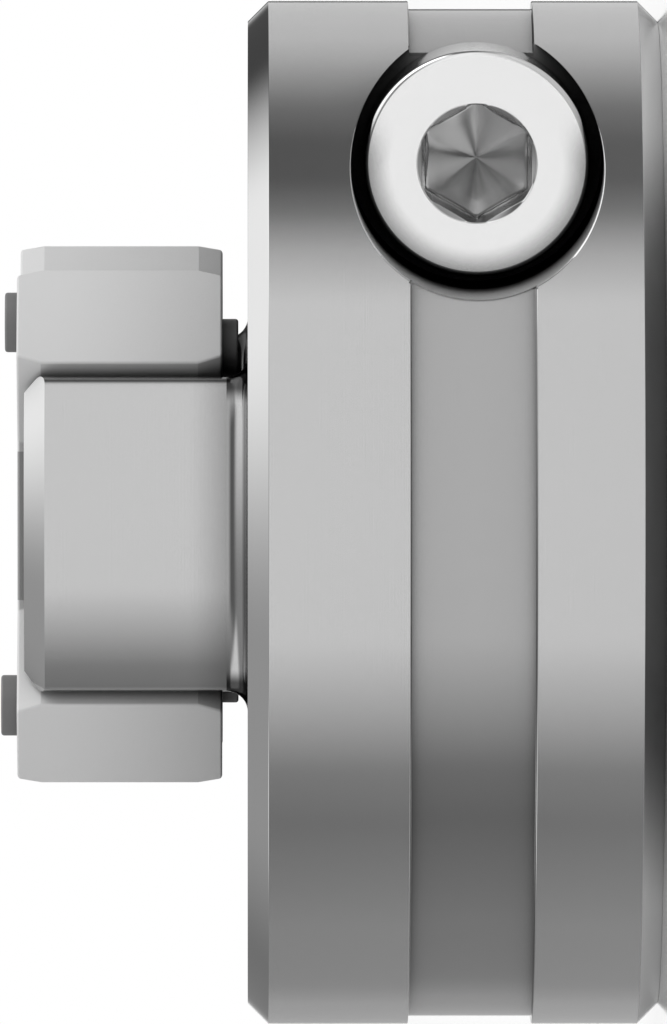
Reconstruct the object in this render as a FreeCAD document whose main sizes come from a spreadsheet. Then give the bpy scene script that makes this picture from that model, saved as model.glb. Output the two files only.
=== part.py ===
"""Clamping hub of a backlash-free jaw coupling, with its elastomer insert and clamp screw.

Millimetres, +Z up. The hub stands on its back face at z = 0 with its bore on the Z axis, and its jaws
point up. The clamp screw lies along Y with its head towards -Y, and the clamp slit is on the +X side.
"""
import FreeCAD, Part
import Sketcher
import os

# Name, value in millimetres (slopes in degrees) and meaning of each driving size.
SIZES = (
    ("hub_diameter", 32.0, "outside of the clamp ring"),
    ("hub_length", 12.8, "back face to front face of the clamp ring"),
    ("rim_chamfer", 0.64, "45 degree chamfer on both outer rims"),
    ("bore_diameter", 8.0, "bore for the shaft"),
    ("bore_chamfer", 0.3, "45 degree chamfer at both ends of the bore"),
    ("groove_start", 3.95, "back face to the near wall of the groove"),
    ("groove_width", 3.85, "width of the groove round the clamp ring"),
    ("groove_depth", 0.25, "depth of the groove"),
    ("slit_width", 0.5, "width of the clamp slit"),
    ("jaw_radius", 9.56, "outside of the jaws"),
    ("jaw_length", 6.92, "front face to the tips of the jaws"),
    ("jaw_tip_land", 1.12, "radial width of the cone on the jaw tips"),
    ("jaw_tip_slope", 30.0, "slope of that cone to the end face"),
    ("jaw_edge_round", 0.25, "rounding of the long outer jaw edges"),
    ("jaw_root_round", 0.64, "fillet at the foot of the jaws"),
    ("screw_inset", 4.42, "outside of the clamp ring to screw axis"),
    ("screw_height", 5.735, "back face to screw axis"),
    ("seat_depth", 5.5, "slit mid-plane to the seat of the screw head"),
    ("counterbore_clearance", 0.4, "screw head to counterbore wall, on the radius"),
    ("hole_clearance", 0.15, "screw to clearance hole, on the radius"),
    ("thread_clearance", 0.03, "screw to tapped hole, on the radius"),
    ("screw_diameter", 4.0, "outside of the screw thread"),
    ("screw_length", 14.0, "length of the screw under its head"),
    ("screw_tip_chamfer", 0.5, "chamfer at the end of the screw"),
    ("head_diameter", 7.0, "screw head"),
    ("head_height", 4.0, "height of the screw head"),
    ("head_edge", 0.15, "rounding of the rim of the screw head"),
    ("socket_width", 3.0, "hexagon socket across flats, at its foot"),
    ("socket_depth", 2.0, "depth of the hexagon socket at its flats"),
    ("socket_draft", 3.8, "draft of the socket walls"),
    ("socket_mouth", 3.69, "diameter of the countersink at the socket"),
    ("socket_slope", 30.0, "slope of the countersink and of the socket floor"),
    ("spider_radius", 9.6, "outside of the insert's arms"),
    ("spider_length", 6.36, "length of the insert without its nubs"),
    ("arm_width", 3.8, "width of an arm between its flanks"),
    ("arm_taper", 0.25, "how far an arm's flanks run in at each end"),
    ("arm_taper_length", 0.75, "length of that taper along the axis"),
    ("web_reach", 5.0, "axis to the flat between two arms"),
    ("spider_hole", 6.0, "hole through the middle of the insert"),
    ("nub_diameter", 1.88, "spacer nub"),
    ("nub_height", 0.5, "height of a nub"),
    ("nub_radius", 7.84, "axis to the middle of a nub"),
    ("nub_gap", 0.29, "front face of the hub to the nubs above it"),
    ("flank_clearance", 0.25, "arm to jaw flank"),
    ("web_clearance", 0.2, "insert to the inner face of a jaw"),
    ("stock", 1.5, "how far a cutter runs past the piece it cuts"),
)

# Two points or radii closer than this, in millimetres, count as the same.
NEAR = 1e-4

doc = FreeCAD.newDocument("coupling_hub")


def make_sheet():
    """Puts the driving sizes into the sheet that every sketch and feature is bound to."""
    sheet = doc.addObject("Spreadsheet::Sheet", "Sizes")
    for row, (alias, value, meaning) in enumerate(SIZES, start=1):
        sheet.set("A%d" % row, meaning)
        sheet.set("B%d" % row, str(value))
        sheet.setAlias("B%d" % row, alias)
    doc.recompute()
    return sheet


sheet = make_sheet()


def origin_feature(body, role):
    """One of the body's own planes or axes, such as XY_Plane or Z_Axis."""
    return next(part for part in body.Origin.OriginFeatures if part.Role == role)


def sketch_on(body, name, role, height="0"):
    """A sketch on one of the body's own planes, raised along the plane's normal."""
    sketch = body.newObject("Sketcher::SketchObject", name)
    sketch.AttachmentSupport = [(origin_feature(body, role), "")]
    sketch.MapMode = "FlatFace"
    sketch.setExpression("AttachmentOffset.Base.z", height)
    return sketch


def dimension(sketch, label, kind, places, formula):
    """Adds one driving dimension and binds it to the sheet."""
    index = sketch.addConstraint(Sketcher.Constraint(kind, *places, 1.0))
    sketch.renameConstraint(index, label)
    sketch.setExpression("Constraints." + label, formula)


def draw_outline(sketch, points):
    """A closed outline of straight edges through points given as pairs of formulas."""
    count = len(points)
    ring = Part.makeCircle(1.0).discretize(count + 1)
    for here in range(count):
        sketch.addGeometry(Part.LineSegment(ring[here], ring[here + 1]), False)
    for here in range(count):
        sketch.addConstraint(Sketcher.Constraint("Coincident", here, 2, (here + 1) % count, 1))
    for here, (across, along) in enumerate(points):
        dimension(sketch, "across_%d" % here, "DistanceX", (-1, 1, here, 1), across)
        dimension(sketch, "along_%d" % here, "DistanceY", (-1, 1, here, 1), along)


def draw_circle(sketch, label, across, along, radius):
    """A circle whose middle and radius are formulas."""
    middle = FreeCAD.Vector(0, 0, 0)
    index = sketch.addGeometry(Part.Circle(middle, FreeCAD.Vector(0, 0, 1), 1.0), False)
    dimension(sketch, label + "_across", "DistanceX", (-1, 1, index, 3), across)
    dimension(sketch, label + "_along", "DistanceY", (-1, 1, index, 3), along)
    dimension(sketch, label + "_radius", "Radius", (index,), radius)


def shape_feature(body, kind, sketch, name, **settings):
    """Adds a sketch-based feature, sets it up and recomputes the body."""
    feature = body.newObject("PartDesign::" + kind, name)
    feature.Profile = sketch
    for setting, value in settings.items():
        setattr(feature, setting, value)
    sketch.Visibility = False
    return feature


def add(body, kind, sketch, name, formulas=(), **settings):
    """A feature that adds material."""
    feature = shape_feature(body, kind, sketch, name, **settings)
    for setting, formula in formulas:
        feature.setExpression(setting, formula)
    doc.recompute()
    return feature


def cut(body, kind, sketch, name, formulas=(), **settings):
    """A feature that removes material, checked to have removed some."""
    before = body.Shape.Volume
    feature = add(body, kind, sketch, name, formulas, **settings)
    if body.Shape.Volume >= before:
        raise RuntimeError(name + " removes nothing")
    return feature


def revolve(body, kind, profile, name):
    """A Revolution or a Groove all the way round the body's Z axis."""
    make = cut if kind == "Groove" else add
    return make(body, kind, profile, name, ReferenceAxis=(profile, ["V_Axis"]), Angle=360.0)


def dress(body, kind, base, edges, name, formulas):
    """A fillet or chamfer along named edges of the feature before it."""
    feature = body.newObject("PartDesign::" + kind, name)
    feature.Base = (base, edges)
    for setting, formula in formulas:
        feature.setExpression(setting, formula)
    doc.recompute()
    return feature


def edges_where(shape, test):
    """Names of the edges whose two ends and middle all pass the test."""
    names = []
    for number, edge in enumerate(shape.Edges, start=1):
        middle = edge.valueAt((edge.FirstParameter + edge.LastParameter) / 2)
        points = [vertex.Point for vertex in edge.Vertexes] + [middle]
        if all(test(point) for point in points):
            names.append("Edge%d" % number)
    return names


def about_axis(point):
    """Distance of a point from the hub's axis."""
    return (point.x ** 2 + point.y ** 2) ** 0.5


def turn_hub_blank(body):
    """Turned blank: the clamp ring with its groove and bore, and the nose that the jaws are milled from."""
    outside = "Sizes.hub_diameter / 2"
    rim = outside + " - Sizes.rim_chamfer"
    floor = outside + " - Sizes.groove_depth"
    groove_end = "Sizes.groove_start + Sizes.groove_width"
    bore = "Sizes.bore_diameter / 2"
    bore_mouth = bore + " + Sizes.bore_chamfer"
    nose_end = "Sizes.hub_length + Sizes.jaw_length"
    tip_land = "Sizes.jaw_tip_land * tan(Sizes.jaw_tip_slope * 1 deg)"
    profile = sketch_on(body, "hub_profile", "XZ_Plane")
    draw_outline(profile, (
        (bore_mouth, "0"),
        (rim, "0"),
        (outside, "Sizes.rim_chamfer"),
        (outside, "Sizes.groove_start"),
        (floor, "Sizes.groove_start"),
        (floor, groove_end),
        (outside, groove_end),
        (outside, "Sizes.hub_length - Sizes.rim_chamfer"),
        (rim, "Sizes.hub_length"),
        ("Sizes.jaw_radius", "Sizes.hub_length"),
        ("Sizes.jaw_radius", nose_end + " - " + tip_land),
        ("Sizes.jaw_radius - Sizes.jaw_tip_land", nose_end),
        (bore, nose_end),
        (bore, "Sizes.bore_chamfer"),
    ))
    revolve(body, "Revolution", profile, "hub_blank")


def mill_jaws(body):
    """Mills the nose away round the two jaws, whose flanks follow the arms of the insert."""
    flat = "(Sizes.web_reach + Sizes.web_clearance)"
    flank = "(Sizes.arm_width / 2 + Sizes.flank_clearance) * sqrt(2)"
    outer = "(Sizes.jaw_radius + Sizes.stock)"
    inner_x = flat + " - " + flank
    outer_x = outer + " - " + flank
    plan = sketch_on(body, "jaw_plan", "XY_Plane", "Sizes.hub_length")
    draw_outline(plan, (
        (inner_x, flat),
        ("-(" + inner_x + ")", flat),
        ("-(" + outer_x + ")", outer),
        ("-" + outer, outer),
        ("-" + outer, "-" + outer),
        ("-(" + outer_x + ")", "-" + outer),
        ("-(" + inner_x + ")", "-" + flat),
        (inner_x, "-" + flat),
        (outer_x, "-" + outer),
        (outer, "-" + outer),
        (outer, outer),
        (outer_x, outer),
    ))
    depth = (("Length", "Sizes.jaw_length + Sizes.stock"),)
    milled = cut(body, "Pocket", plan, "jaw_milling", depth, Reversed=True)

    outer_edges = edges_where(milled.Shape, is_jaw_outside)
    corners = [name for name in outer_edges if is_upright(milled.Shape, name)]
    rounded = dress(body, "Fillet", milled, corners, "jaw_edges", (("Radius", "Sizes.jaw_edge_round"),))
    foot = edges_where(rounded.Shape, is_jaw_foot)
    dress(body, "Fillet", rounded, foot, "jaw_roots", (("Radius", "Sizes.jaw_root_round"),))


def is_upright(shape, name):
    """True for a straight edge along Z."""
    start, end = shape.getElement(name).Vertexes
    return start.Point.sub(FreeCAD.Vector(end.Point.x, end.Point.y, start.Point.z)).Length < NEAR


def is_jaw_outside(point):
    """True on the turned outside of the jaws."""
    return abs(about_axis(point) - sheet.jaw_radius) < NEAR and point.z > sheet.hub_length - NEAR


def is_jaw_foot(point):
    """True on the front face of the ring, between the bore and the outside of the jaws."""
    on_face = abs(point.z - sheet.hub_length) < NEAR
    return on_face and sheet.bore_diameter / 2 + NEAR < about_axis(point) < sheet.jaw_radius + NEAR


def chamfer_bore_front(body):
    """Breaks the front edge of the bore as the back edge is broken."""
    bore = "Sizes.bore_diameter / 2"
    profile = sketch_on(body, "bore_mouth_profile", "XZ_Plane")
    draw_outline(profile, (
        (bore + " - Sizes.bore_chamfer", "Sizes.hub_length - 2 * Sizes.bore_chamfer"),
        (bore + " + 2 * Sizes.bore_chamfer", "Sizes.hub_length + Sizes.bore_chamfer"),
        (bore + " - Sizes.bore_chamfer", "Sizes.hub_length + Sizes.bore_chamfer"),
    ))
    revolve(body, "Groove", profile, "bore_mouth")


def cut_clamp(body):
    """Cuts what the clamp screw needs: slit, counterbore, clearance hole and tapped hole."""
    reach = "Sizes.hub_diameter / 2 + Sizes.stock"
    half_slit = "Sizes.slit_width / 2"
    slit = sketch_on(body, "slit_plan", "XY_Plane")
    draw_outline(slit, (
        ("0", "-" + half_slit),
        (reach, "-" + half_slit),
        (reach, half_slit),
        ("0", half_slit),
    ))
    full = (("Length", "Sizes.hub_length + Sizes.stock"),)
    cut(body, "Pocket", slit, "clamp_slit", full, Reversed=True)

    radius = "Sizes.screw_diameter / 2 + "
    bored = (
        ("clearance_hole", "0", radius + "Sizes.hole_clearance", True),
        ("tapped_hole", "0", radius + "Sizes.thread_clearance", False),
        ("counterbore", "Sizes.seat_depth", "Sizes.head_diameter / 2 + Sizes.counterbore_clearance", True),
    )
    for name, start, size, towards_head in bored:
        ring = sketch_on(body, name + "_plan", "XZ_Plane", start)
        draw_circle(ring, "hole", "Sizes.hub_diameter / 2 - Sizes.screw_inset", "Sizes.screw_height", size)
        cut(body, "Pocket", ring, name, (("Length", reach),), Reversed=towards_head)


def make_clamping_hub():
    """Aluminium hub, turned and milled in one piece."""
    body = doc.addObject("PartDesign::Body", "hub_body")
    body.Label = "clamping_hub"
    turn_hub_blank(body)
    mill_jaws(body)
    chamfer_bore_front(body)
    cut_clamp(body)
    return body


def turn_screw_blank():
    """Headed blank of the clamp screw, its seat at z = 0 and its head upwards."""
    body = doc.addObject("PartDesign::Body", "screw_blank")
    shank = "Sizes.screw_diameter / 2"
    head = "Sizes.head_diameter / 2"
    mouth = "Sizes.socket_mouth / 2"
    dimple = mouth + " * tan(Sizes.socket_slope * 1 deg)"
    profile = sketch_on(body, "screw_profile", "XZ_Plane")
    draw_outline(profile, (
        ("0", "-Sizes.screw_length"),
        (shank + " - Sizes.screw_tip_chamfer", "-Sizes.screw_length"),
        (shank, "-Sizes.screw_length + Sizes.screw_tip_chamfer"),
        (shank, "0"),
        (head, "0"),
        (head, "Sizes.head_height"),
        (mouth, "Sizes.head_height"),
        ("0", "Sizes.head_height - " + dimple),
    ))
    turned = revolve(body, "Revolution", profile, "screw_turned")
    rim = edges_where(turned.Shape, is_head_rim)
    dress(body, "Fillet", turned, rim, "head_rim", (("Radius", "Sizes.head_edge"),))
    return body


def is_head_rim(point):
    """True on the outer rim of the head's end face, in the screw's own place."""
    at_rim = about_axis(point) > sheet.head_diameter / 2 - NEAR
    return at_rim and abs(point.z - sheet.head_height) < NEAR


def make_socket_punch():
    """The punch that forms the socket: a drafted hexagon whose end is turned to a cone."""
    body = doc.addObject("PartDesign::Body", "socket_punch")
    corner = "Sizes.socket_width / sqrt(3)"
    slope = "tan(Sizes.socket_slope * 1 deg)"
    point = "Sizes.head_height - Sizes.socket_depth - Sizes.socket_width / 2 * " + slope
    hexagon = sketch_on(body, "socket_hexagon", "XY_Plane", point)
    flat = "Sizes.socket_width / 2"
    draw_outline(hexagon, (
        (corner, "0"),
        (corner + " / 2", flat),
        ("-" + corner + " / 2", flat),
        ("-" + corner, "0"),
        ("-" + corner + " / 2", "-" + flat),
        (corner + " / 2", "-" + flat),
    ))
    length = "Sizes.head_height - (" + point + ") + Sizes.stock"
    sizes = (("Length", length), ("TaperAngle", "Sizes.socket_draft"))
    add(body, "Pad", hexagon, "punch_hexagon", sizes)
    tip = sketch_on(body, "punch_tip_profile", "XZ_Plane")
    wide = "2 * " + corner
    draw_outline(tip, (
        ("0", point),
        (wide, point + " + " + wide + " * " + slope),
        (wide, point + " - Sizes.stock"),
        ("0", point + " - Sizes.stock"),
    ))
    revolve(body, "Groove", tip, "punch_tip")
    return body


def make_clamp_screw():
    """Hexagon socket head screw, laid along Y with its head seated in the hub."""
    screw = doc.addObject("Part::Cut", "screw_cut")
    screw.Label = "clamp_screw"
    screw.Base = turn_screw_blank()
    screw.Tool = make_socket_punch()
    screw.Placement = FreeCAD.Placement(FreeCAD.Vector(), FreeCAD.Rotation(FreeCAD.Vector(1, 0, 0), 90))
    screw.setExpression("Placement.Base.x", "Sizes.hub_diameter / 2 - Sizes.screw_inset")
    screw.setExpression("Placement.Base.y", "-Sizes.seat_depth")
    screw.setExpression("Placement.Base.z", "Sizes.screw_height")
    doc.recompute()
    return screw


def mould_arms(body):
    """Four arms with flanks that run in at both ends, on a square middle, trimmed to one radius."""
    arm = "Sizes.arm_width / 2"
    end = "(" + arm + " - Sizes.arm_taper)"
    taper_top = "Sizes.spider_length - Sizes.arm_taper_length"
    section = sketch_on(body, "arm_section", "YZ_Plane")
    draw_outline(section, (
        ("-" + end, "0"),
        (end, "0"),
        (arm, "Sizes.arm_taper_length"),
        (arm, taper_top),
        (end, "Sizes.spider_length"),
        ("-" + end, "Sizes.spider_length"),
        ("-" + arm, taper_top),
        ("-" + arm, "Sizes.arm_taper_length"),
    ))
    reach = (("Length", "Sizes.spider_radius + Sizes.stock"),)
    first = add(body, "Pad", section, "first_arm", reach)
    ring = body.newObject("PartDesign::PolarPattern", "arms")
    ring.Originals = [first]
    ring.Axis = (origin_feature(body, "Z_Axis"), [""])
    ring.Angle = 360.0
    ring.Occurrences = 4
    body.Tip = ring
    doc.recompute()

    corner = "Sizes.web_reach * sqrt(2)"
    middle = sketch_on(body, "web_plan", "XY_Plane")
    draw_outline(middle, ((corner, "0"), ("0", corner), ("-" + corner, "0"), ("0", "-" + corner)))
    add(body, "Pad", middle, "web", (("Length", "Sizes.spider_length"),))

    trim = sketch_on(body, "arm_trim_profile", "XZ_Plane")
    outside = "Sizes.spider_radius + 3 * Sizes.stock"
    above = "Sizes.spider_length + Sizes.stock"
    draw_outline(trim, (
        ("Sizes.spider_radius", "-Sizes.stock"),
        (outside, "-Sizes.stock"),
        (outside, above),
        ("Sizes.spider_radius", above),
    ))
    revolve(body, "Groove", trim, "arm_ends")


def make_elastomer_spider():
    """Moulded insert, its arms turned onto the diagonals between the jaws."""
    body = doc.addObject("PartDesign::Body", "spider_body")
    body.Label = "elastomer_spider"
    mould_arms(body)

    hole = sketch_on(body, "spider_hole_plan", "XY_Plane")
    draw_circle(hole, "hole", "0", "0", "Sizes.spider_hole / 2")
    through = (("Length", "Sizes.spider_length + Sizes.stock"),)
    cut(body, "Pocket", hole, "spider_hole", through, Reversed=True)

    nubs = (
        ("outer_nub_a", "Sizes.spider_length", "Sizes.nub_radius", "0", False),
        ("outer_nub_b", "Sizes.spider_length", "-Sizes.nub_radius", "0", False),
        ("inner_nub_a", "0", "0", "Sizes.nub_radius", True),
        ("inner_nub_b", "0", "0", "-Sizes.nub_radius", True),
    )
    for name, height, across, along, downwards in nubs:
        plan = sketch_on(body, name + "_plan", "XY_Plane", height)
        draw_circle(plan, "nub", across, along, "Sizes.nub_diameter / 2")
        add(body, "Pad", plan, name, (("Length", "Sizes.nub_height"),), Reversed=downwards)

    body.Placement = FreeCAD.Placement(FreeCAD.Vector(), FreeCAD.Rotation(FreeCAD.Vector(0, 0, 1), 45))
    body.setExpression("Placement.Base.z", "Sizes.hub_length + Sizes.nub_gap + Sizes.nub_height")
    doc.recompute()
    return body


def check(pieces):
    """Stops if any object failed, or a piece has no sound solid."""
    for thing in doc.Objects:
        if "Invalid" in thing.State or "Error" in thing.State:
            raise RuntimeError(thing.Name + " failed: " + ", ".join(thing.State))
    for piece in pieces:
        if piece.Shape.isNull() or not piece.Shape.isValid() or len(piece.Shape.Solids) != 1:
            raise RuntimeError(piece.Label + " has no sound solid")


pieces = (make_clamping_hub(), make_clamp_screw(), make_elastomer_spider())
check(pieces)
os.makedirs("parts", exist_ok=True)
for piece in pieces:
    piece.Shape.exportStep("parts/" + piece.Label + ".step")
    print(piece.Label, round(piece.Shape.Volume, 3), piece.Shape.BoundBox)
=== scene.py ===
import math

import bmesh
import bpy
import numpy as np
from mathutils import Matrix, Vector


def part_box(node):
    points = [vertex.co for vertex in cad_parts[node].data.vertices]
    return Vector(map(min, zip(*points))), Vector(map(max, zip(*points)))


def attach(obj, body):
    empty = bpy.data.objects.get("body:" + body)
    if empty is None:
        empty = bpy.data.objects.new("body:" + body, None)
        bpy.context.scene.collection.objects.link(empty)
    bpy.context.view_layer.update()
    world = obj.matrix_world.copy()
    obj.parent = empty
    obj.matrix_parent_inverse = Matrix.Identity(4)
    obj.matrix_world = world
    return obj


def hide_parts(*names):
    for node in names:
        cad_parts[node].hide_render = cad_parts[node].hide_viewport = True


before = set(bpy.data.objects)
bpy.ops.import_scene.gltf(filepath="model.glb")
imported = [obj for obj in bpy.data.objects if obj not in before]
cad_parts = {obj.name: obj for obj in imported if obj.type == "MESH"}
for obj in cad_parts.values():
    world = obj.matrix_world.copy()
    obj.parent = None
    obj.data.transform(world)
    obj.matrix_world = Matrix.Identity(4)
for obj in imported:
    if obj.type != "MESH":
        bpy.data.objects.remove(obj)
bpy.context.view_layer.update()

# The clamping hub: one piece of aluminium bar, turned with a groove and two chamfered rims, its nose milled
# away to leave two jaws, then slit on one side and drilled across for the clamp screw. Satin turned finish.
MM = 0.001
hub_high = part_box("clamping_hub")[1]
screw_low, screw_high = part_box("clamp_screw")
ring_radius = hub_high.y
ring_length = 12.8 * MM
rim_chamfer = 0.64 * MM
bore_radius = 4.0 * MM
bore_chamfer = 0.3 * MM
groove_start, groove_end = 3.95 * MM, 7.8 * MM
groove_floor = ring_radius - 0.25 * MM
edge_wear = 0.035 * MM
jaw_radius = 9.56 * MM
jaw_top = hub_high.z
jaw_flat = 5.2 * MM
jaw_flank = 2.08 * MM
jaw_edge = 0.4 * MM
jaw_inner_edge = 0.06 * MM
jaw_root = 0.64 * MM
tip_land = 1.12 * MM
tip_slope = math.radians(30)
screw_x = (screw_low.x + screw_high.x) / 2
screw_z = (screw_low.z + screw_high.z) / 2
seat_y = -5.5 * MM
counterbore_radius = 3.9 * MM
mouth_edge = 0.03 * MM
clearance_radius = 2.15 * MM
tapped_radius = 2.03 * MM
thread_pitch = 0.7 * MM
slit_half = 0.25 * MM
overrun = 1.0 * MM
metal_crease = 20


def soften(corners, radius, steps=6):
    """A closed profile with each corner turned into an arc of the given radius.

    The arc's middle lies on the corner's bisector, so that it is tangent to both of the sides, and its points
    are spaced evenly in angle. A corner whose sides run on almost straight is kept as it is.
    """
    corners = np.asarray(corners, float)
    count = len(corners)
    rounded = []
    for i in range(count):
        here = corners[i]
        before = corners[i - 1] - here
        after = corners[(i + 1) % count] - here
        before /= np.linalg.norm(before)
        after /= np.linalg.norm(after)
        half = math.acos(np.clip(before @ after, -1, 1)) / 2
        if half > math.radians(86):
            rounded.append(here[None])
            continue
        bisector = (before + after) / np.linalg.norm(before + after)
        middle = here + bisector * radius / math.sin(half)
        first = here + before * radius / math.tan(half) - middle
        last = here + after * radius / math.tan(half) - middle
        turn = math.pi - 2 * half
        share = np.linspace(0, 1, steps + 1)[:, None]
        arc = (first * np.sin((1 - share) * turn) + last * np.sin(share * turn)) / math.sin(turn)
        rounded.append(middle + arc)
    return np.concatenate(rounded)


def skin(name, rows, ring=False):
    """A closed mesh from rows of points, shaped (rows, points round, 3), each row a closed loop.

    Neighbouring rows are joined by quads. With ring, the last row joins the first. Otherwise each end row is
    closed by a fan to its mean point, so that poles and flat ends are whole.
    """
    rows = np.asarray(rows, float)
    levels, around = rows.shape[:2]
    points = rows.reshape(-1, 3)
    here = np.arange(around)
    there = (here + 1) % around
    last = levels if ring else levels - 1
    low = (np.arange(last) * around)[:, None]
    high = ((np.arange(last) + 1) % levels * around)[:, None]
    quads = np.stack([low + here, low + there, high + there, high + here], axis=-1).reshape(-1, 4)
    faces = quads.tolist()
    if not ring:
        points = np.vstack([points, rows[0].mean(0), rows[-1].mean(0)])
        foot, head = levels * around, levels * around + 1
        top = (levels - 1) * around
        faces += np.stack([there, here, np.full(around, foot)], axis=-1).tolist()
        faces += np.stack([top + here, top + there, np.full(around, head)], axis=-1).tolist()
    mesh = bpy.data.meshes.new(name)
    mesh.from_pydata(points.tolist(), [], faces)
    mesh.validate()
    piece = bpy.data.objects.new(name, mesh)
    bpy.context.scene.collection.objects.link(piece)
    return piece


def turned(profile, steps, start=0.0):
    """A surface of revolution about Z: each profile point (r, z) becomes the circle (r cos a, r sin a, z)."""
    profile = np.asarray(profile, float)
    angle = start + np.linspace(0, 2 * math.pi, steps, endpoint=False)
    radius, height = profile[:, :1], profile[:, 1:]
    return np.stack([radius * np.cos(angle), radius * np.sin(angle), height + 0 * angle], axis=-1)


def ring_rows():
    """The turned ring: its closed section, with worn edges, spun about the bore's axis."""
    section = [
        (bore_radius + bore_chamfer, 0.0),
        (ring_radius - rim_chamfer, 0.0),
        (ring_radius, rim_chamfer),
        (ring_radius, groove_start),
        (groove_floor, groove_start),
        (groove_floor, groove_end),
        (ring_radius, groove_end),
        (ring_radius, ring_length - rim_chamfer),
        (ring_radius - rim_chamfer, ring_length),
        (bore_radius + bore_chamfer, ring_length),
        (bore_radius, ring_length - bore_chamfer),
        (bore_radius, bore_chamfer),
    ]
    return turned(soften(section, edge_wear), 720)


def jaw_plan():
    """The outline of one jaw seen along the bore: points and outward directions, as two (n, 2) arrays.

    It is the outer arc, two flanks along the diagonals and an inner flat, and each corner is an arc that is
    tangent to its neighbours. Half is worked out, from the middle of the outer arc to the middle of the flat,
    and the other half is its mirror image.
    """
    root_half = math.sqrt(0.5)
    down = np.array([root_half, -root_half])
    along = np.array([root_half, root_half])
    inset = jaw_flank + jaw_edge
    reach = math.sqrt((jaw_radius - jaw_edge) ** 2 - inset ** 2)
    outer = reach * along - inset * down
    outer_angle = math.atan2(outer[1], outer[0])
    inner_y = jaw_flat + jaw_inner_edge
    inner = np.array([inner_y - (jaw_flank + jaw_inner_edge) / root_half, inner_y])

    def arc(middle, radius, first, last, steps):
        angle = np.linspace(first, last, steps)
        facing = np.stack([np.cos(angle), np.sin(angle)], axis=-1)
        return middle + radius * facing, facing

    stretches = [
        arc(np.zeros(2), jaw_radius, math.pi / 2, outer_angle, 40),
        arc(outer, jaw_edge, outer_angle, -math.pi / 4, 12),
        arc(inner, jaw_inner_edge, -math.pi / 4, -math.pi / 2, 5),
    ]
    middle = (np.array([[0.0, jaw_flat]]), np.array([[0.0, -1.0]]))
    half = [np.concatenate(parts) for parts in zip(*stretches, middle)]
    half = [values[np.r_[0:40, 41:len(values)]] for values in half]
    mirror = np.array([-1.0, 1.0])
    return [np.concatenate([values, (values * mirror)[-2:0:-1]]) for values in half]


def jaw_rows(side):
    """One jaw: its outline carried up a profile of (offset, height), the foot a quarter circle.

    side is 1 for the jaw towards +Y and -1 for the other, which is turned half round. The rows run past the
    tip, which is turned to its cone afterwards.
    """
    outline, facing = jaw_plan()
    turn = np.linspace(0, math.pi / 2, 10)
    offset = jaw_root * (1 - np.sin(turn))
    height = ring_length + jaw_root * (1 - np.cos(turn))
    sunk = 0.002 * MM
    offset = np.concatenate([[jaw_root, jaw_root], offset[1:], [0.0]])
    foot = [ring_length - overrun / 2, ring_length - sunk]
    height = np.concatenate([foot, height[1:], [jaw_top + overrun]])
    flat = outline + offset[:, None, None] * facing
    level = np.broadcast_to(height[:, None, None], flat.shape[:2] + (1,))
    rows = np.concatenate([flat * side, level], axis=-1)
    return rows[:, ::-1]


def tip_cutter_rows():
    """What turning takes off the jaw tips: a plane at the top and a cone round it."""
    far = 2 * jaw_radius
    section = [
        (0.0, jaw_top),
        (jaw_radius - tip_land, jaw_top),
        (far, jaw_top - (far - jaw_radius + tip_land) * math.tan(tip_slope)),
        (far, jaw_top + 2 * overrun),
        (0.0, jaw_top + 2 * overrun),
    ]
    return turned(section, 360)


def along_y(rows):
    """Rows made about the Z axis, laid along the clamp screw's axis with their +Z towards -Y."""
    x, y, z = rows[..., 0], rows[..., 1], rows[..., 2]
    return np.stack([x + screw_x, seat_y - z, y + screw_z], axis=-1)


def counterbore_rows():
    """The counterbore's cutter: a cylinder that flares by the edge break where it leaves the ring's side.

    For each angle round the screw axis the wall runs from the seat to the height at which the ring's surface
    cuts it, sqrt(R^2 - x^2) from the bore's axis, and then opens at 45 degrees.
    """
    angle = np.linspace(0, 2 * math.pi, 512, endpoint=False)
    across = screw_x + counterbore_radius * np.cos(angle)
    up = screw_z + counterbore_radius * np.sin(angle)
    in_groove = (up > groove_start) & (up < groove_end)
    surface = np.where(in_groove, groove_floor, ring_radius)
    rim = np.sqrt(np.maximum(surface ** 2 - across ** 2, 0)) + seat_y
    rim = np.maximum(rim, 2 * mouth_edge)
    far = np.full_like(rim, ring_radius)
    radius = np.stack([
        0 * rim,
        0 * rim + counterbore_radius,
        0 * rim + counterbore_radius,
        0 * rim + counterbore_radius + 3 * mouth_edge,
        0 * rim + counterbore_radius + 3 * mouth_edge,
        0 * rim,
    ])
    height = np.stack([0 * rim, 0 * rim, rim - mouth_edge, rim + 2 * mouth_edge, far, far])
    rows = np.stack([radius * np.cos(angle), radius * np.sin(angle), height], axis=-1)
    return along_y(rows)


def plain_hole_rows(radius, first, last):
    """A cylinder about the screw axis between two heights above the seat."""
    return along_y(turned([(0.0, first), (radius, first), (radius, last), (0.0, last)], 128))


def slab(name, low, high):
    """A box between two corners, used as a saw cut."""
    x, y, z = zip(low, high)
    loop = [(x[0], y[0]), (x[1], y[0]), (x[1], y[1]), (x[0], y[1])]
    rows = [[(across, along, level) for across, along in loop] for level in z]
    return skin(name, rows)


def outwards(piece):
    """Turns every face of a closed mesh outwards."""
    bpy.context.view_layer.objects.active = piece
    piece.data.update()
    work = bmesh.new()
    work.from_mesh(piece.data)
    bmesh.ops.remove_doubles(work, verts=work.verts, dist=1e-8)
    bmesh.ops.recalc_face_normals(work, faces=work.faces)
    work.to_mesh(piece.data)
    work.free()


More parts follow.
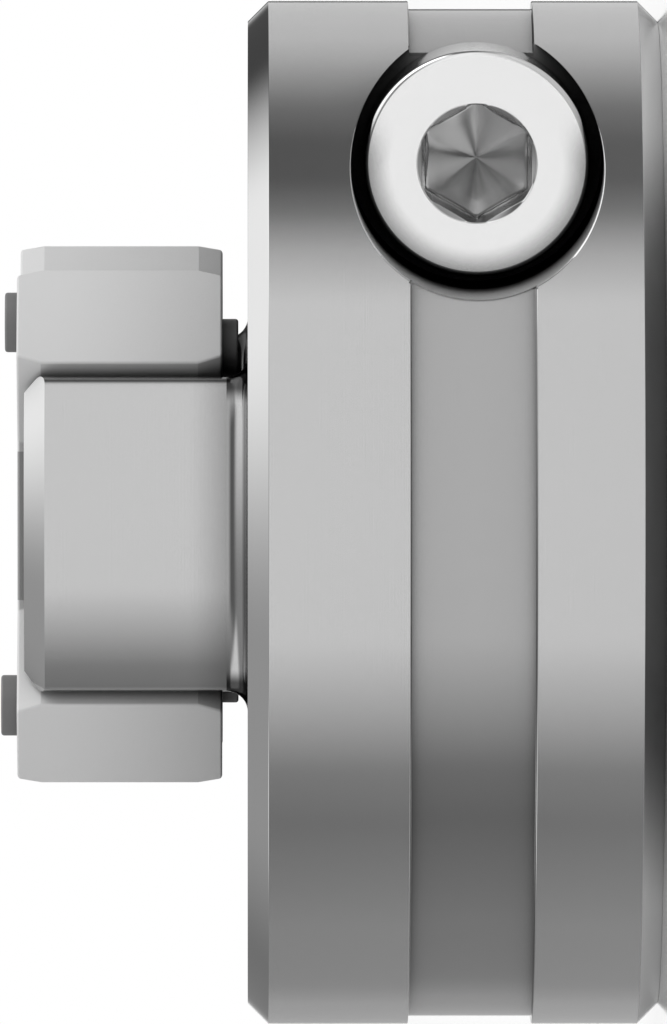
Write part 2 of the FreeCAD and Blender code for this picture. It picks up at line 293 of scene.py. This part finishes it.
def combine(piece, tool, operation):
    """Joins a tool to a piece or cuts it away, and removes the tool."""
    for each in (piece, tool):
        outwards(each)
    step = piece.modifiers.new(tool.name, "BOOLEAN")
    step.operation = operation
    step.solver = "EXACT"
    step.object = tool
    result = bpy.data.meshes.new_from_object(piece.evaluated_get(bpy.context.evaluated_depsgraph_get()))
    piece.modifiers.clear()
    piece.data = result
    bpy.data.objects.remove(tool)


def smooth_shade(piece, crease):
    """Smooth shading that keeps flats flat beside small rounds.

    The normal at a face's corner is the mean, weighted by area, of the normals of those faces at the same
    point that lie within the crease angle of that face.
    """
    mesh = piece.data
    mesh.shade_smooth()
    point = np.zeros(len(mesh.loops), int)
    mesh.loops.foreach_get("vertex_index", point)
    corners = np.zeros(len(mesh.polygons), int)
    mesh.polygons.foreach_get("loop_total", corners)
    area = np.zeros(len(mesh.polygons))
    mesh.polygons.foreach_get("area", area)
    facing = np.zeros(len(mesh.polygons) * 3)
    mesh.polygons.foreach_get("normal", facing)
    face = np.repeat(np.arange(len(corners)), corners)
    order = np.argsort(point, kind="stable")
    shared = np.bincount(point, minlength=len(mesh.vertices))
    start = (np.cumsum(shared) - shared)[point]
    own = np.repeat(np.arange(len(point)), shared[point])
    step = np.arange(len(own)) - np.repeat(np.cumsum(shared[point]) - shared[point], shared[point])
    other = face[order[start[own] + step]]
    facing = facing.reshape(-1, 3)
    close = (facing[face[own]] * facing[other]).sum(1) > math.cos(math.radians(crease))
    share = (area[other] * close)[:, None] * facing[other]
    total = np.stack([np.bincount(own, share[:, axis], len(point)) for axis in range(3)], axis=-1)
    total /= np.maximum(np.linalg.norm(total, axis=1), 1e-30)[:, None]
    mesh.normals_split_custom_set(total)


def wire(tree, kind, inputs=(), **settings):
    """Adds a node, sets its properties and fills its inputs from outputs or plain values."""
    made = tree.nodes.new("ShaderNode" + kind)
    for name, value in settings.items():
        setattr(made, name, value)
    for key, value in dict(inputs).items():
        if isinstance(value, bpy.types.NodeSocket):
            tree.links.new(value, made.inputs[key])
        else:
            made.inputs[key].default_value = value
    return made


def maths(tree, operation, *values):
    """The result of one sum on numbers or outputs."""
    return wire(tree, "Math", dict(enumerate(values)), operation=operation).outputs[0]


def choose(tree, share, first, last):
    """The first number where the share is 0 and the last where it is 1."""
    return wire(tree, "MapRange", {"Value": share, "To Min": first, "To Max": last}).outputs[0]


def ease(tree, value, low, high, first=0.0, last=1.0):
    """A smooth step of a value from low to high, giving first and then last."""
    limits = {"Value": value, "From Min": low, "From Max": high, "To Min": first, "To Max": last}
    return wire(tree, "MapRange", limits, interpolation_type="SMOOTHSTEP").outputs["Result"]


def as_colour(tree, grey):
    """A grey as a colour."""
    return wire(tree, "CombineColor", {0: grey, 1: grey, 2: grey}).outputs[0]


def distance_from_screw(tree, place):
    """How far a place is from the clamp screw's axis."""
    offset = wire(tree, "VectorMath", {0: place, 1: (screw_x, 0, screw_z)}, operation="SUBTRACT").outputs[0]
    across = wire(tree, "VectorMath", {0: offset, 1: (1, 0, 1)}, operation="MULTIPLY").outputs[0]
    return wire(tree, "VectorMath", {0: across}, operation="LENGTH").outputs["Value"]


def new_group(name, inputs, outputs):
    """An empty node group with number sockets, and its input and output nodes."""
    tree = bpy.data.node_groups.new(name, "ShaderNodeTree")
    for title, usual in inputs.items():
        tree.interface.new_socket(title, in_out="INPUT", socket_type="NodeSocketFloat").default_value = usual
    for title, kind in outputs.items():
        tree.interface.new_socket(title, in_out="OUTPUT", socket_type="NodeSocket" + kind)
    return tree, tree.nodes.new("NodeGroupInput").outputs, tree.nodes.new("NodeGroupOutput").inputs


def new_material(name, colour, roughness, metallic=0.0):
    """A material with its Principled node and a grey base colour."""
    material = bpy.data.materials.new(name)
    material.use_nodes = True
    tree = material.node_tree
    surface = tree.nodes["Principled BSDF"]
    surface.inputs["Base Color"].default_value = (colour, colour, colour, 1)
    surface.inputs["Roughness"].default_value = roughness
    surface.inputs["Metallic"].default_value = metallic
    return material, tree, surface


def recess_group():
    """Painted shade: a grey times (open share of the sky within a reach) ^ depth. Share says how much of it
    counts.
    """
    inputs = {"Grey": 0.5, "Reach": 0.001, "Depth": 1.0, "Share": 1.0}
    tree, given, out = new_group("recess_shade", inputs, {"Color": "Color"})
    crowd = wire(tree, "AmbientOcclusion", {"Distance": given["Reach"]}, samples=8)
    open_share = maths(tree, "POWER", crowd.outputs["AO"], given["Depth"])
    closed = maths(tree, "MULTIPLY", maths(tree, "SUBTRACT", 1.0, open_share), given["Share"])
    grey = maths(tree, "MULTIPLY", given["Grey"], maths(tree, "SUBTRACT", 1.0, closed))
    tree.links.new(as_colour(tree, grey), out["Color"])
    return tree


def tool_mark_group():
    """Fine rings left by a lathe tool: noise along the axis, as a bump and a roughness."""
    inputs = {"Spacing": 0.0001, "Roughness": 0.25, "Spread": 0.03}
    tree, given, out = new_group("tool_marks", inputs, {"Roughness": "Float", "Height": "Float"})
    place = wire(tree, "TexCoord").outputs["Object"]
    split = wire(tree, "SeparateXYZ", {0: place}).outputs
    around = maths(tree, "MULTIPLY", split[0], split[0])
    radius = maths(tree, "SQRT", maths(tree, "ADD", around, maths(tree, "MULTIPLY", split[1], split[1])))
    along = maths(tree, "ADD", split[2], radius)
    turns = maths(tree, "DIVIDE", along, given["Spacing"])
    texture = {"W": turns, "Scale": 1.0, "Detail": 3.0}
    lines = wire(tree, "TexNoise", texture, noise_dimensions="1D").outputs[0]
    uneven = maths(tree, "MULTIPLY", maths(tree, "SUBTRACT", lines, 0.5), given["Spread"])
    tree.links.new(maths(tree, "ADD", given["Roughness"], uneven), out["Roughness"])
    tree.links.new(lines, out["Height"])
    return tree


def use_group(tree, group, **values):
    """A group placed in a material with its own values; a name's underscores stand for spaces."""
    placed = tree.nodes.new("ShaderNodeGroup")
    placed.node_tree = group
    for title, value in values.items():
        key = title.replace("_", " ")
        if isinstance(value, bpy.types.NodeSocket):
            tree.links.new(value, placed.inputs[key])
        else:
            placed.inputs[key].default_value = value
    return placed.outputs


recess_shade = recess_group()
tool_marks = tool_mark_group()
aluminium_grey = 0.56
aluminium_roughness = 0.11
groove_grey, back_chamfer_painted_light_grey, root_corner_painted_shade_grey = 0.42, 0.95, 0.08
arm_shade_start, arm_shade_end = 4.1 * MM, 4.6 * MM
turned_reach, pocket_reach = 1.9 * MM, 4.0 * MM
pocket_roughness = 0.45
turned_skin = 0.015 * MM
groove_from, groove_full, groove_under = 0.06 * MM, 0.2 * MM, 0.1 * MM
floor_light_top = 3.2 * MM
turned_shade = 1.5
mark_spacing, mark_spread, mark_height, mark_strength = 0.05 * MM, 0.05, 0.01 * MM, 0.02
aluminium, tree, surface = new_material("satin_aluminium", aluminium_grey, aluminium_roughness, metallic=1.0)
place = wire(tree, "TexCoord").outputs["Object"]
split = wire(tree, "SeparateXYZ", {0: place}).outputs
flat_place = wire(tree, "CombineXYZ", {0: split[0], 1: split[1]}).outputs[0]
radius = wire(tree, "VectorMath", {0: flat_place}, operation="LENGTH").outputs["Value"]

below_land = ease(tree, radius, ring_radius - groove_from, ring_radius - groove_full)
in_length = maths(tree, "COMPARE", split[2], (groove_start + groove_end) / 2, (groove_end - groove_start) / 2)
near_rim = maths(tree, "GREATER_THAN", radius, groove_floor - groove_under)
in_groove = maths(tree, "MULTIPLY", maths(tree, "MULTIPLY", below_land, in_length), near_rim)
grey = choose(tree, in_groove, aluminium_grey, groove_grey)
# Painted light: the back chamfer, beside the floor, gets a lighter grey to brighten its dim reflection.
on_back_chamfer = maths(tree, "LESS_THAN", split[2], rim_chamfer)
grey = choose(tree, on_back_chamfer, grey, back_chamfer_painted_light_grey)
# Painted shade: the jaw's root fillet beside the insert's arms gets a near black grey.
in_root = maths(tree, "COMPARE", split[2], ring_length + jaw_root / 2 + turned_skin, jaw_root / 2)
beside_arm = ease(tree, maths(tree, "ABSOLUTE", split[0]), arm_shade_start, arm_shade_end)
in_painted_corner_shade = maths(tree, "MULTIPLY", in_root, beside_arm)
grey = choose(tree, in_painted_corner_shade, grey, root_corner_painted_shade_grey)

# Painted shade: recess shade darkens the pocket, the groove's edges and jaw roots, but not near the floor.
screw_distance = distance_from_screw(tree, place)
near_screw = maths(tree, "LESS_THAN", screw_distance, counterbore_radius + turned_skin)
skin_radius = choose(tree, in_length, ring_radius - turned_skin, groove_floor - turned_skin)
below_skin = maths(tree, "LESS_THAN", radius, skin_radius)
in_pocket = maths(tree, "MULTIPLY", near_screw, below_skin)
clear_of_floor = ease(tree, split[2], floor_light_top, groove_start)
shade_share = maths(tree, "MAXIMUM", clear_of_floor, in_pocket)
shade_reach = choose(tree, in_pocket, turned_reach, pocket_reach)
shaded = use_group(tree, recess_shade, Grey=grey, Reach=shade_reach, Depth=turned_shade, Share=shade_share)
tree.links.new(shaded["Color"], surface.inputs["Base Color"])

cut_roughness = choose(tree, in_pocket, aluminium_roughness, pocket_roughness)
marks = use_group(tree, tool_marks, Spacing=mark_spacing, Roughness=cut_roughness, Spread=mark_spread)
tree.links.new(marks["Roughness"], surface.inputs["Roughness"])
bump = wire(tree, "Bump", {"Strength": mark_strength, "Distance": mark_height, "Height": marks["Height"]})
tree.links.new(bump.outputs[0], surface.inputs["Normal"])

hub = skin("turned_hub", ring_rows(), ring=True)
for side, side_name in ((1, "back"), (-1, "front")):
    combine(hub, skin("jaw_" + side_name, jaw_rows(side)), "UNION")
saw_low = (bore_radius / 2, -slit_half, -overrun)
saw_high = (ring_radius + overrun, slit_half, ring_length + overrun)
cutters = [
    skin("tip_cutter", tip_cutter_rows()),
    skin("counterbore_cutter", counterbore_rows()),
    skin("clearance_drill", plain_hole_rows(clearance_radius, seat_y, overrun)),
    skin("tapping_drill", plain_hole_rows(tapped_radius, -2 * ring_radius, seat_y + slit_half)),
    slab("slitting_saw", saw_low, saw_high),
]
for cutter in cutters:
    combine(hub, cutter, "DIFFERENCE")
smooth_shade(hub, metal_crease)
hub.data.materials.append(aluminium)
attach(hub, "hub")
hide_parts("clamping_hub")


# The clamp screw: a socket head cap screw, cold headed and rolled from steel and left bright. It is turned by
# its hexagon socket, draws the slit together and holds in the thread on the far side of the slit.
head_radius = screw_high.x - screw_x
head_height = seat_y - screw_low.y
head_edge = 0.17 * MM
shank_radius = 2.0 * MM
screw_length = screw_high.y - seat_y
point_chamfer = 0.5 * MM
thread_depth = 0.3 * MM
thread_runout = 1.0 * MM
mouth_radius = 1.845 * MM
cone_slope = math.tan(math.radians(30))
socket_flat = 1.5 * MM
socket_depth = 2.0 * MM
socket_draft = math.tan(math.radians(3.8))
rim_corner, foot_corner = 0.28, 0.12
socket_edge = 0.03 * MM
wall_steps = (0.15, 0.5, 0.85)
floor_steps = (0.94, 0.75, 0.5, 0.25, 0.1, 0.004)


def hexagon_share(angle, corner):
    """How far a hexagon with rounded corners reaches at an angle, where its flats are at a distance of 1.

    On a flat it is 1 / cos(d), with d the angle from the flat's middle. On a corner it is the far crossing of
    the ray with a circle of radius corner, whose middle is (1 - corner) / cos 30 away along the corner's ray.
    """
    flat_turn = angle % (math.pi / 3) - math.pi / 6
    off_corner = math.pi / 6 - np.abs(flat_turn)
    middle = (1 - corner) / math.cos(math.pi / 6)
    reach = corner ** 2 - (middle * np.sin(off_corner)) ** 2
    on_arc = np.abs(np.tan(flat_turn)) > (1 - corner) * math.tan(math.pi / 6)
    arc = middle * np.cos(off_corner) + np.sqrt(np.maximum(reach, 0))
    return np.where(on_arc, arc, 1 / np.cos(flat_turn))


def screw_rows():
    """The screw about its own axis, seat at height 0: for each angle a profile of (radius, height).

    From the point: a chamfer, the helix r = R - depth * (0.5 + 0.5 cos(2 pi height / pitch - angle)), the
    seat, the head with its rounded rim, a countersunk mouth, the drafted hexagon wall and a cone for the
    floor. The wall's top is where its radius equals the countersink's, and its foot where it equals the
    floor's.
    """
    angle = np.linspace(0, 2 * math.pi, 360, endpoint=False)
    even = np.ones_like(angle)
    rim_share = hexagon_share(angle, rim_corner)
    foot_share = hexagon_share(angle, foot_corner)
    rows = []

    def level(radius, height):
        rows.append((radius * even, height * even))

    level(shank_radius - point_chamfer - thread_depth / 2, -screw_length)
    for height in np.arange(-screw_length + point_chamfer / 2, -thread_runout, thread_pitch / 7):
        wave = 0.5 + 0.5 * np.cos(2 * math.pi * height / thread_pitch - angle)
        start = (height + screw_length) / point_chamfer
        limit = shank_radius - point_chamfer * (1 - min(start, 1.0))
        fade = min(-(height + thread_runout) / thread_pitch, 1.0)
        rows.append((np.minimum(shank_radius - thread_depth * fade * wave, limit), height * even))
    level(shank_radius, -thread_runout)
    level(shank_radius, 0)
    level(head_radius - socket_edge, 0)
    level(head_radius, socket_edge)
    for turn in np.linspace(0, math.pi / 2, 9):
        inward = head_edge * (1 - math.cos(turn))
        level(head_radius - inward, head_height - head_edge * (1 - math.sin(turn)))

    floor_point = head_height - socket_depth - socket_flat * cone_slope
    cone_base = head_height - mouth_radius * cone_slope
    rim_flat = socket_flat + (cone_base - floor_point) * socket_draft
    rim = rim_share * rim_flat / (1 - rim_share * socket_draft * cone_slope)
    rim = np.minimum(rim, mouth_radius - socket_edge)
    rim_height = cone_base + rim * cone_slope
    foot = foot_share * socket_flat / (1 - foot_share * socket_draft * cone_slope)
    foot_height = floor_point + foot * cone_slope
    level(mouth_radius + socket_edge, head_height)
    level(mouth_radius, head_height - socket_edge / 3)
    drop = rim_height - foot_height
    rows.append((rim + socket_edge, rim_height + socket_edge * cone_slope))
    rows.append((rim + socket_edge / 4, rim_height))
    rows.append((rim, rim_height - socket_edge))
    for down in wall_steps:
        rows.append((rim + (foot - rim) * down, rim_height - drop * down))
    rows.append((foot, foot_height + socket_edge))
    rows.append((foot - socket_edge / 2, foot_height + socket_edge / 4))
    for inwards in floor_steps:
        rows.append((foot * inwards, floor_point + foot * inwards * cone_slope))
    radius, height = (np.stack(values) for values in zip(*rows))
    flat = np.stack([radius * np.cos(angle), radius * np.sin(angle), height], axis=-1)
    return along_y(flat)


steel_grey = 0.86
steel_roughness = 0.12
socket_painted_shade_grey, wall_grey = 0.44, 0.9
outer_share, inner_share = 1.0, 0.1
head_reach, head_shade = 1.3 * MM, 3.5
steel, tree, surface = new_material("bright_steel", steel_grey, steel_roughness, metallic=1.0)
place = wire(tree, "TexCoord").outputs["Object"]
screw_distance = distance_from_screw(tree, place)
in_mouth = maths(tree, "LESS_THAN", screw_distance, mouth_radius)
along = wire(tree, "SeparateXYZ", {0: place}).outputs[1]
depth = maths(tree, "SUBTRACT", along, screw_low.y)
in_socket = maths(tree, "MULTIPLY", in_mouth, maths(tree, "GREATER_THAN", depth, socket_edge / 2))
cone_depth = maths(tree, "ADD", depth, maths(tree, "MULTIPLY", screw_distance, cone_slope))
sink_end = mouth_radius * cone_slope
floor_start = socket_depth + socket_flat * cone_slope
wall_middle = (sink_end + floor_start) / 2
wall_half = (floor_start - sink_end) / 2 - socket_edge
on_wall = maths(tree, "COMPARE", cone_depth, wall_middle, wall_half)
# Painted shade: in the socket the countersink and floor get a dark grey; the walls stay near the steel's
# grey.
grey = choose(tree, in_socket, steel_grey, choose(tree, on_wall, socket_painted_shade_grey, wall_grey))
share = choose(tree, in_socket, outer_share, inner_share)
shaded = use_group(tree, recess_shade, Grey=grey, Reach=head_reach, Depth=head_shade, Share=share)
tree.links.new(shaded["Color"], surface.inputs["Base Color"])
screw = skin("cap_screw", screw_rows())
outwards(screw)
smooth_shade(screw, metal_crease)
screw.data.materials.append(steel)
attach(screw, "screw")
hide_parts("clamp_screw")


# The insert: one moulding of light grey elastomer with four arms, pressed by hand between the jaws. Its
# flanks taper at both ends, and small nubs on the arms keep it clear of the hubs' faces.
spider_low, spider_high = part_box("elastomer_spider")
nub_height = 0.5 * MM
spider_base = spider_low.z + nub_height
spider_top = spider_high.z - nub_height
spider_radius = 9.6 * MM
arm_half = 1.9 * MM
arm_taper = 0.25 * MM
taper_length = 0.75 * MM
web_reach = 5.0 * MM
spider_hole = 3.0 * MM
nub_radius = 0.94 * MM
nub_place = 7.84 * MM
moulded_edge = 0.09 * MM
arm_edge = 0.1 * MM
moulded_crease = 15


def spider_outline(half_width, inset):
    """The insert's outline at one level, as an (n, 2) array: arms of a half width on a square middle.

    An arm runs from the web's flat, x + y = reach * sqrt 2, out to the circle, and its end is an arc. One
    quarter is turned three times. The inset moves every side inwards by the same amount.
    """
    half = half_width - inset
    reach = spider_radius - inset
    start = (web_reach - inset) * math.sqrt(2) - half
    end_turn = math.asin(half / reach)
    end = np.linspace(-end_turn, end_turn, 13)
    tip = reach * np.stack([np.cos(end), np.sin(end)], axis=-1)
    flank = np.linspace([start, half], [half, start], 15)[:-1]
    quarter = np.vstack([[start, -half], tip, flank])
    turn = np.radians(45 + 90 * np.arange(4))
    spin = np.array([[np.cos(turn), np.sin(turn)], [-np.sin(turn), np.cos(turn)]])
    whole = np.einsum("pi,ijk->kpj", quarter, spin).reshape(-1, 2)
    return soften(whole, arm_edge, steps=4)


def spider_rows():
    """The insert as a closed tube: up its outline and down its hole, with a quarter circle at every end edge.

    The arms' half width is arm_half less the taper, which grows evenly over the last stretch to each end.
    """
    turn = np.linspace(0, math.pi / 2, 5)
    inset = moulded_edge * (1 - np.sin(turn))
    rise = moulded_edge * (1 - np.cos(turn))
    height = np.concatenate([
        spider_base + rise,
        [spider_base + taper_length, spider_top - taper_length],
        spider_top - rise[::-1],
    ])
    inset = np.concatenate([inset, [0.0, 0.0], inset[::-1]])
    from_end = np.minimum(height - spider_base, spider_top - height)
    half_width = arm_half - arm_taper * np.maximum(0, 1 - from_end / taper_length)
    outside = np.array([spider_outline(*level) for level in zip(half_width, inset)])
    angle = np.arctan2(outside[..., 1], outside[..., 0])
    hole = (spider_hole + inset)[:, None]
    inside = np.stack([hole * np.cos(angle), hole * np.sin(angle)], axis=-1)
    flat = np.concatenate([outside, inside[::-1]])
    level = np.concatenate([height, height[::-1]])
    level = np.broadcast_to(level[:, None, None], flat.shape[:2] + (1,))
    return np.concatenate([flat, level], axis=-1)


def nub_rows(angle, foot, tip):
    """One nub: a turned stub on an arm at an angle round the bore, from a foot height to a rounded tip."""
    way = math.copysign(1, tip - foot)
    bend = np.linspace(0, math.pi / 2, 5)
    radius = nub_radius - moulded_edge * (1 - np.cos(bend))
    height = tip - way * moulded_edge * (1 - np.sin(bend))
    profile = np.stack([np.append(nub_radius, radius), np.append(foot, height)], axis=-1)
    return turned(profile, 64) + np.array([nub_place * math.cos(angle), nub_place * math.sin(angle), 0])


insert = skin("spider_insert", spider_rows(), ring=True)
nub_root = 0.2 * MM
for quarter_turns in range(4):
    faces_out = quarter_turns % 2 == 0
    foot = spider_top - nub_root if faces_out else spider_base + nub_root
    tip = spider_top + nub_height if faces_out else spider_base - nub_height
    nub = skin("nub", nub_rows(math.radians(45 + 90 * quarter_turns), foot, tip))
    combine(insert, nub, "UNION")
smooth_shade(insert, moulded_crease)
elastomer_grey = 0.92
nub_grey, web_painted_shade_grey = 0.26, 0.5
elastomer_roughness = 0.5
insert_reach, insert_shade = 6.0 * MM, 0.5
grain_scale, grain_height, grain_strength = 9000.0, 0.01 * MM, 0.05
elastomer, tree, surface = new_material("light_grey_elastomer", elastomer_grey, elastomer_roughness)
place = wire(tree, "TexCoord").outputs["Object"]
across, along, height = wire(tree, "SeparateXYZ", {0: place}).outputs
across, along = (maths(tree, "ABSOLUTE", each) for each in (across, along))
further, nearer = (maths(tree, choice, across, along) for choice in ("MAXIMUM", "MINIMUM"))
# Painted shade: the web's flats between the arms, deep between the jaws, get a darker grey.
on_reach = maths(tree, "COMPARE", further, web_reach, moulded_edge)
web_half = web_reach - arm_half * math.sqrt(2)
on_shaded_web = maths(tree, "MULTIPLY", on_reach, maths(tree, "LESS_THAN", nearer, web_half))
middle = (spider_base + spider_top) / 2
off_middle = maths(tree, "ABSOLUTE", maths(tree, "SUBTRACT", height, middle))
on_nub = maths(tree, "GREATER_THAN", off_middle, (spider_top - spider_base) / 2 + 0.01 * MM)
grey = choose(tree, on_nub, elastomer_grey, nub_grey)
grey = choose(tree, on_shaded_web, grey, web_painted_shade_grey)
shaded = use_group(tree, recess_shade, Grey=grey, Reach=insert_reach, Depth=insert_shade)
tree.links.new(shaded["Color"], surface.inputs["Base Color"])
fine_grain = wire(tree, "TexNoise", {"Vector": place, "Scale": grain_scale, "Detail": 2.0}).outputs[0]
bump = wire(tree, "Bump", {"Strength": grain_strength, "Distance": grain_height, "Height": fine_grain})
tree.links.new(bump.outputs[0], surface.inputs["Normal"])
insert.data.materials.append(elastomer)
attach(insert, "hub")
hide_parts("elastomer_spider")


# The studio floor: a wide pale polished sheet on which the hub stands on its back face. A shadow is painted
# into the floor's colour on the strip of floor in front of the hub.
view_turn = math.radians(4.8)
towards_camera = Vector((math.sin(view_turn), -math.cos(view_turn), 0))
floor_half = 12.0
floor_mesh = bpy.data.meshes.new("studio_floor")
corners = [(-floor_half, -floor_half, 0), (floor_half, -floor_half, 0), (floor_half, floor_half, 0)]
floor_mesh.from_pydata(corners + [(-floor_half, floor_half, 0)], [], [(0, 1, 2, 3)])
floor = bpy.data.objects.new("studio_floor", floor_mesh)
bpy.context.scene.collection.objects.link(floor)
floor_grey = 0.75
contact_painted_shadow_grey = 0.06
contact_reach = 3 * MM
contact_from, contact_to = 0.6, 0.95
floor_roughness = 0.05
pale, tree, surface = new_material("pale_floor", floor_grey, floor_roughness)
place = wire(tree, "TexCoord").outputs["Object"]
radius = wire(tree, "VectorMath", {0: place}, operation="LENGTH").outputs["Value"]
facing = wire(tree, "VectorMath", {0: place}, operation="NORMALIZE").outputs[0]
# Painted shadow: near the hub, on the camera's side, the floor's colour falls to a dark grey.
near = ease(tree, radius, ring_radius + contact_reach, ring_radius)
towards = wire(tree, "VectorMath", {0: facing, 1: towards_camera}, operation="DOT_PRODUCT")
front = ease(tree, towards.outputs["Value"], contact_from, contact_to)
grey = choose(tree, maths(tree, "MULTIPLY", near, front), floor_grey, contact_painted_shadow_grey)
tree.links.new(as_colour(tree, grey), surface.inputs["Base Color"])
floor_mesh.materials.append(pale)


# The camera stands far off, level with the hub's nose, and is rolled a quarter turn, so that the bore's axis
# lies across the picture and the floor is on its right.
picture_up = Vector((math.cos(view_turn), math.sin(view_turn), 0))
camera_distance = 0.6727
camera_height = 12.73 * MM
aim_height = 10.116 * MM
camera_data = bpy.data.cameras.new("camera")
camera_data.lens = 755.9
camera_data.sensor_width = 36.0
camera_data.clip_start = 0.01
camera_data.clip_end = 100.0
camera = bpy.data.objects.new("camera", camera_data)
bpy.context.scene.collection.objects.link(camera)
stand = towards_camera * camera_distance + Vector((0, 0, camera_height))
back = (stand - Vector((0, 0, aim_height))).normalized()
right = picture_up.cross(back).normalized()
turn = Matrix((right, back.cross(right), back)).transposed()
camera.matrix_world = Matrix.Translation(stand) @ turn.to_4x4()
bpy.context.scene.camera = camera


# The studio light: a wall of cards and gaps that goes round the hub's side, a soft box over the upper half, a
# gap and two fill cards in front of it, a dark flag behind, and a white card straight behind the object. Each
# is a smooth function of direction.
studio_wall = (
    (-180, 0.60), (-172, 0.46), (-146, 0.49), (-134, 0.38), (-107, 0.37), (-74, 0.23), (-60, 0.30),
    (-46, 0.61), (-29, 0.98), (0, 1.00), (48, 1.00), (60, 0.68), (71, 0.25), (80, 0.11), (92, 0.11),
    (104, 0.23), (114, 0.45), (124, 0.66), (134, 0.78), (146, 0.78), (170, 0.70), (180, 0.60),
)
lit_start, lit_end = math.radians(-16), math.radians(22)
box_levels, box_raised = (0.47, 1.4), (0.3, 0.6)
gap_level, gap_raised = 0.22, (0.08, 0.42, 0.56, 0.88)
gap_forward, gap_off_axis = (-0.3, -0.1), (0.75, 0.5)
fill_levels, fill_raised = (1.35, 2.0), (0.2, 0.35, 0.75, 0.9)
fill_forward, fill_off_axis = (-0.25, 0.0, 0.35, 0.55), (0.45, 0.65)
flag_levels, flag_raised = (0.25, 0.08), (0.05, 0.18, 0.45, 0.83)
flag_forward = (-0.3, -0.5)
card_level = 1.0
card_start, card_end = math.radians(8), math.radians(6)


def blend_levels(first, last, share):
    """A mix of two numbers."""
    return wire(tree, "Mix", {0: share, 2: first, 3: last}).outputs[0]


def band(value, low, low_end, high_end, high):
    """1 between the two inner limits, falling smoothly to 0 at the two outer ones."""
    return maths(tree, "MULTIPLY", ease(tree, value, low, low_end), ease(tree, value, high, high_end))


world = bpy.data.worlds.new("studio")
bpy.context.scene.world = world
world.use_nodes = True
tree = world.node_tree
direction = wire(tree, "TexCoord").outputs["Generated"]
ahead = wire(tree, "VectorMath", {0: direction, 1: towards_camera}, operation="DOT_PRODUCT")
above = wire(tree, "VectorMath", {0: direction, 1: picture_up}, operation="DOT_PRODUCT")
forward, upward = ahead.outputs["Value"], above.outputs["Value"]
off_axis = maths(tree, "ABSOLUTE", upward)
raised = wire(tree, "SeparateXYZ", {0: direction}).outputs[2]

turn_share = maths(tree, "MULTIPLY_ADD", maths(tree, "ARCTAN2", upward, forward), 0.5 / math.pi, 0.5)
wall = wire(tree, "ValToRGB", {0: turn_share})
stops = wall.color_ramp.elements
while len(stops) < len(studio_wall):
    stops.new(0.5)
for stop, (degrees, level) in zip(stops, studio_wall):
    stop.position = degrees / 360 + 0.5
    stop.color = (level, level, level, 1)

about_axis = maths(tree, "ARCTAN2", upward, maths(tree, "ADD", forward, 1.0))
lit_side = ease(tree, about_axis, lit_start, lit_end)
level = blend_levels(wall.outputs[0], choose(tree, lit_side, *box_levels), ease(tree, raised, *box_raised))

gap_face = maths(tree, "MULTIPLY", ease(tree, forward, *gap_forward), ease(tree, off_axis, *gap_off_axis))
gap = maths(tree, "MULTIPLY", band(raised, *gap_raised), gap_face)
level = blend_levels(level, gap_level, gap)

fill_face = maths(tree, "MULTIPLY", ease(tree, off_axis, *fill_off_axis), band(forward, *fill_forward))
fill = maths(tree, "MULTIPLY", fill_face, band(raised, *fill_raised))
level = blend_levels(level, choose(tree, lit_side, *fill_levels), fill)

flag = maths(tree, "MULTIPLY", ease(tree, forward, *flag_forward), band(raised, *flag_raised))
level = blend_levels(level, choose(tree, lit_side, *flag_levels), flag)

card = ease(tree, forward, -math.cos(card_start), -math.cos(card_end))
level = blend_levels(level, card_level, card)
tree.links.new(level, tree.nodes["Background"].inputs["Color"])
bpy.context.scene.view_settings.view_transform = "Standard"
